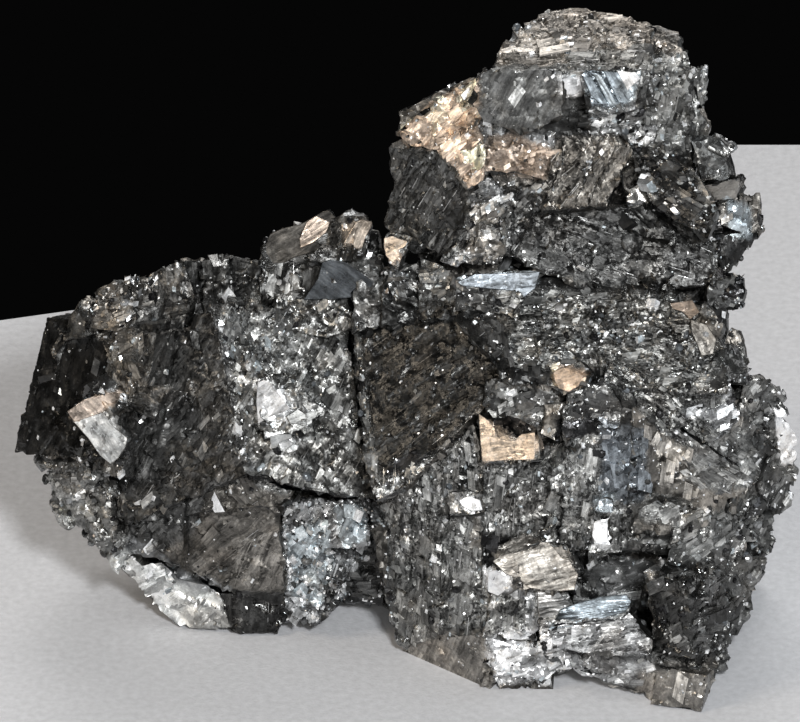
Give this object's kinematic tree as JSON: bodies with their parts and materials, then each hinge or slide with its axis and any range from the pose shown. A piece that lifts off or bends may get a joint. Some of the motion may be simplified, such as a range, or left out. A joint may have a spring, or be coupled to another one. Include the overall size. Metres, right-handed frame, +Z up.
{
  "type": "arsenopyrite specimen",
  "caption": "Hand-size cluster of intergrown steel-grey metallic crystals with stepped, striated faces, standing on its broken base.",
  "frame": {"origin": "middle of the bounding box at the level of the flat broken base, on the surface it stands on", "axes": "+Z up; +X towards the end with the tall arm, along the cluster's width; +Y to the back, away from the showing side"},
  "size_m": [0.1182, 0.0626, 0.0975],
  "materials": {
    "arsenopyrite": "dark steel-grey natural metal, striated, with tarnished bronze and bright silvery facets"
  },
  "bodies": {
    "root": {"arsenopyrite_cluster": "arsenopyrite"}
  },
  "joints": []
}
